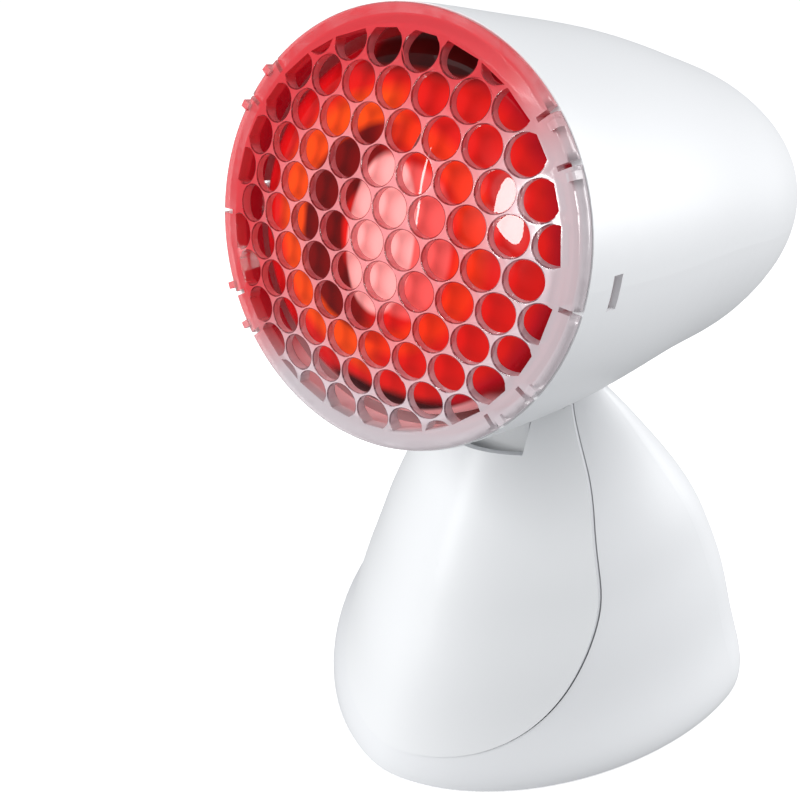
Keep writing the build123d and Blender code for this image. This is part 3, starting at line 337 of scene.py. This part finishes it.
def bulbRed(name):
    material, tree, shader = newMaterial(name)
    look = bulbLook
    across, up = distancesFrom(tree, apex, (headAcross, headUp))
    trueRadius = lengthOf(tree, across, up)
    wave = spread(tree, objectNoise(tree, look["waves"], look["wavesDetail"]), -look["waveHeight"],
                  look["waveHeight"])
    share = multiply(tree, mathNode(tree, "ADD", trueRadius, wave), 1 / look["bandsRadius"])
    left, right = (
        colourRamp(tree, share, [(place, look[colour]) for place, colour in look[bands]])
        for bands in ("leftBands", "rightBands"))
    # painted reflections of the reflector: orange bands and bands of shade, different on the left and right
    banded = mixColour(tree, rise(tree, across, look["rightStart"]), left, right)

    wavedUp = mathNode(tree, "ADD", up, wave)
    beside = mathNode(tree, "SUBTRACT", across, look["roseOff"])
    roseOut = lengthOf(tree, mathNode(tree, "DIVIDE", beside, look["roseWide"]),
                       mathNode(tree, "DIVIDE", wavedUp, look["roseTall"]))
    # painted rose reflection beside the middle
    withRose = mixColour(tree, fall(tree, roseOut, look["roseEnd"]), banded, look["rose"])
    paleOut = lengthOf(tree, mathNode(tree, "DIVIDE", across, look["paleWide"]),
                       mathNode(tree, "DIVIDE", wavedUp, look["paleTall"]))
    # painted pale reflection in the middle
    withPale = mixColour(tree, fall(tree, paleOut, look["paleEnd"]), withRose, look["pale"])

    # painted shade at the top and bottom ends
    height = mathNode(tree, "ADD", mathNode(tree, "ABSOLUTE", up), multiply(tree, wave, look["endWaves"]))
    onEnds = multiply(tree, rise(tree, height, look["endStart"]), rise(tree, across, look["endRightOf"]))
    withEnds = mixColour(tree, onEnds, withPale, look["black"])
    # painted pale light along the lower edge
    onEdge = multiply(tree, rise(tree, trueRadius, look["edgeStart"]), fall(tree, up, look["edgeLowEnd"]))
    final = mixColour(tree, onEdge, withEnds, look["edgeLow"])
    tree.links.new(final, shader.inputs["Base Color"])
    tree.links.new(final, shader.inputs["Emission Color"])
    setSockets(shader, look["sockets"])
    return material


# black rocker with a printed line at its upper end and a ring at its lower end
rockerLook = {
    "pivot": (0, 0.036364, 0.040380), "along": (0, -0.240, 0.9706), "markAt": 0.0042,
    "lineHalf": (0.00022, 0.0013), "ringRadius": 0.0011, "ringHalf": 0.00019,
    "black": (0.02, 0.02, 0.022), "print": (0.72, 0.72, 0.72), "roughness": 0.37,
}


def rockerPlastic(name):
    material, tree, shader = newMaterial(name)
    look = rockerLook
    across, along = distancesFrom(tree, look["pivot"], (headAcross, look["along"]))
    halfWide, halfTall = look["lineHalf"]
    line = multiply(tree, within(tree, across, 0.0, halfWide), within(tree, along, look["markAt"], halfTall))
    fromRing = lengthOf(tree, across, mathNode(tree, "ADD", along, look["markAt"]))
    ring = within(tree, fromRing, look["ringRadius"], look["ringHalf"])
    marks = mathNode(tree, "MAXIMUM", line, ring)
    tree.links.new(mixColour(tree, marks, look["black"], look["print"]), shader.inputs["Base Color"])
    addGrain(tree, shader, grains["rocker"], look["roughness"])
    return material


white = shellPlastic("shellWhite", (0.81, 0.82, 0.835), 0.40)
# the panel's seam colour is painted shade in the gap at its edge
panelWhite = shellPlastic("panelWhite", (0.82, 0.83, 0.84), 0.42, paintedSeamShade=(0.60, 0.61, 0.63))
clear = coverPlastic("coverClear")
red = bulbRed("bulbRed")
steel = metal("platedSteel", (0.62, 0.62, 0.63), 0.30)
brass = metal("spunBrass", (0.80, 0.62, 0.30), 0.28)
aluminium = metal("pressedAluminium", (0.80, 0.80, 0.81), 0.35)
ceramic = plainPlastic("glazedCeramic", (0.84, 0.82, 0.78), 0.30, "ceramic")
inner = plainPlastic("innerPlastic", (0.78, 0.79, 0.80), 0.45)
greyPlate = plainPlastic("plateGrey", (0.36, 0.37, 0.38), 0.55)
rubber = plainPlastic("padRubber", (0.03, 0.03, 0.032), 0.75)
black = plainPlastic("switchBlack", (0.02, 0.02, 0.022), 0.38)
rockerBlack = rockerPlastic("rockerBlack")
bushing = plainPlastic("bushingGrey", (0.10, 0.105, 0.11), 0.6)
wireJacket = plainPlastic("wireJacket", (0.75, 0.75, 0.74), 0.5)
print("materials made")

finishes = {
    "head_shell": white, "foot_shell": white, "front_panel": panelWhite, "front_cover": clear,
    "bulb_glass": red, "bulb_stem": ceramic, "bulb_filament": steel, "bulb_cap": brass,
    "bulb_insulator": black, "bulb_button": brass, "holder_body": ceramic, "holder_sleeve": brass,
    "holder_contact": brass, "heat_shield": aluminium, "holder_bracket": steel, "bracket_screws": steel,
    "holder_screws": steel, "head_leg": inner, "clamp_plate": inner, "leg_screws": steel,
    "head_leads": wireJacket, "bottom_plate": greyPlate, "plate_screws": steel, "rubber_pads": rubber,
    "hinge_pin": steel, "hinge_washers": inner, "pin_clips": steel, "detent_spring": steel,
    "detent_screw": steel, "switch_housing": black, "switch_rocker": rockerBlack, "switch_blades": brass,
    "cord_inlet": bushing, "terminal_block": inner, "terminal_screws": steel, "cord_clamp": inner,
    "clamp_screws": steel, "foot_leads": wireJacket,
}
for name, node in nodes.items():
    node.data.materials.clear()
    node.data.materials.append(finishes[name])
print("finishes on CAD nodes")


# the cover as moulded: the same form, with the rims of its holes rounded over
coverRims = {
    "merge": 0.000002, "flat": math.radians(0.6), "sharp": math.radians(38), "grilleRadius": 0.0400,
    "alongWall": 0.5, "round": 0.00026, "segments": 2, "smooth": math.radians(32),
}


# whether an edge runs round one of the holes, on either face of the grille
def isHoleRim(mesh, edge):
    first, second = (mesh.vertices[corner].co for corner in edge.vertices)
    backward = (second - first).normalized().dot(headBack)
    middle = (first + second) / 2 - apex
    fromAxis = (middle - middle.dot(headBack) * headBack).length
    return fromAxis < coverRims["grilleRadius"] and abs(backward) < coverRims["alongWall"]


def selectHoleRims(piece):
    bpy.ops.mesh.select_mode(type="EDGE")
    bpy.ops.mesh.select_all(action="DESELECT")
    bpy.ops.mesh.edges_select_sharp(sharpness=coverRims["sharp"])
    bpy.ops.object.mode_set(mode="OBJECT")
    mesh = piece.data
    for edge in mesh.edges:
        edge.select = edge.select and isHoleRim(mesh, edge)
    for part in [*mesh.vertices, *mesh.polygons]:
        part.select = False
    bpy.ops.object.mode_set(mode="EDIT")


def makeCover():
    cover = bpy.data.objects.new("coverGrille", nodes["front_cover"].data.copy())
    scene.collection.objects.link(cover)
    bpy.ops.object.select_all(action="DESELECT")
    cover.select_set(True)
    bpy.context.view_layer.objects.active = cover
    bpy.ops.object.mode_set(mode="EDIT")
    bpy.ops.mesh.select_all(action="SELECT")
    bpy.ops.mesh.remove_doubles(threshold=coverRims["merge"])
    bpy.ops.mesh.dissolve_limited(angle_limit=coverRims["flat"])
    selectHoleRims(cover)
    bpy.ops.mesh.bevel(offset=coverRims["round"], segments=coverRims["segments"], affect="EDGES",
                       clamp_overlap=False)
    bpy.ops.object.mode_set(mode="OBJECT")
    bpy.ops.object.shade_smooth_by_angle(angle=coverRims["smooth"])
    evened = cover.modifiers.new("evened", "WEIGHTED_NORMAL")  # flat faces keep their own shading
    evened.keep_sharp = True
    bpy.ops.object.modifier_apply(modifier=evened.name)
    cover.visible_glossy = False  # keeps the web's pattern out of the bulb's reflections
    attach(cover, "head")
    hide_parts("front_cover")
    print("cover rims rounded:", len(cover.data.polygons), "faces")


makeCover()


# floor and light; some lights only light, and some are only seen mirrored
floorLook = {"Base Color": (0.92, 0.92, 0.92, 1), "Roughness": 0.8, "Emission Color": (1, 1, 1, 1),
             "Emission Strength": 0.45}
floorSize = 8
surroundings = {"colour": (0.95, 0.97, 1.0), "strength": 0.48, "mirrored": 0.20}
lightsAim = Vector((0, 0, 0.12))
lights = {
    "softFront": {"place": (-0.50, -1.30, 0.75), "size": (0.80, 0.90), "power": 18.5,
                  "mirrored": False, "lighting": True},
    "windowFront": {"place": (0.0, -1.25, 0.36), "size": (0.28, 0.34), "power": 5.5,
                    "mirrored": True, "lighting": False},
    "lineFront": {"place": (-0.54, -1.20, 0.33), "size": (0.014, 0.42), "power": 0.30,
                  "mirrored": True, "lighting": False},
    "softRight": {"place": (1.05, 1.15, 0.60), "size": (1.1, 1.3), "power": 26.5,
                  "mirrored": True, "lighting": True},
    "softTop": {"place": (-0.1, 0.0, 1.8), "size": (1.6, 1.6), "power": 4.0,
                "mirrored": True, "lighting": True},
}


def makeStage():
    bpy.ops.mesh.primitive_plane_add(size=floorSize, location=(0, 0, 0))
    floor = bpy.context.object
    floor.name = "floor"
    material, _, shader = newMaterial("floorPaper")
    setSockets(shader, floorLook)
    floor.data.materials.append(material)
    floor.visible_diffuse = False
    floor.visible_glossy = False


def addLight(name, place, size, power, mirrored, lighting):
    lamp = bpy.data.lights.new(name, "AREA")
    lamp.shape = "RECTANGLE" if lighting else "ELLIPSE"
    lamp.size, lamp.size_y = size
    lamp.energy = power
    holder = bpy.data.objects.new(name, lamp)
    scene.collection.objects.link(holder)
    holder.location = place
    holder.visible_glossy = mirrored
    holder.visible_diffuse = lighting
    holder.rotation_euler = (lightsAim - Vector(place)).to_track_quat("-Z", "Y").to_euler()


# even light all round, dimmer in reflections
def lightSurroundings(colour, strength, mirrored):
    world = bpy.data.worlds.new("studio")
    scene.world = world
    world.use_nodes = True
    tree = world.node_tree
    path = tree.nodes.new("ShaderNodeLightPath")
    background = tree.nodes["Background"]
    background.inputs["Color"].default_value = (*colour, 1)
    dimmed = spread(tree, path.outputs["Is Glossy Ray"], strength, mirrored)
    tree.links.new(dimmed, background.inputs["Strength"])


makeStage()
for name, light in lights.items():
    addLight(name, **light)
lightSurroundings(**surroundings)
scene.view_settings.view_transform = "Standard"
print("stage and lights set")
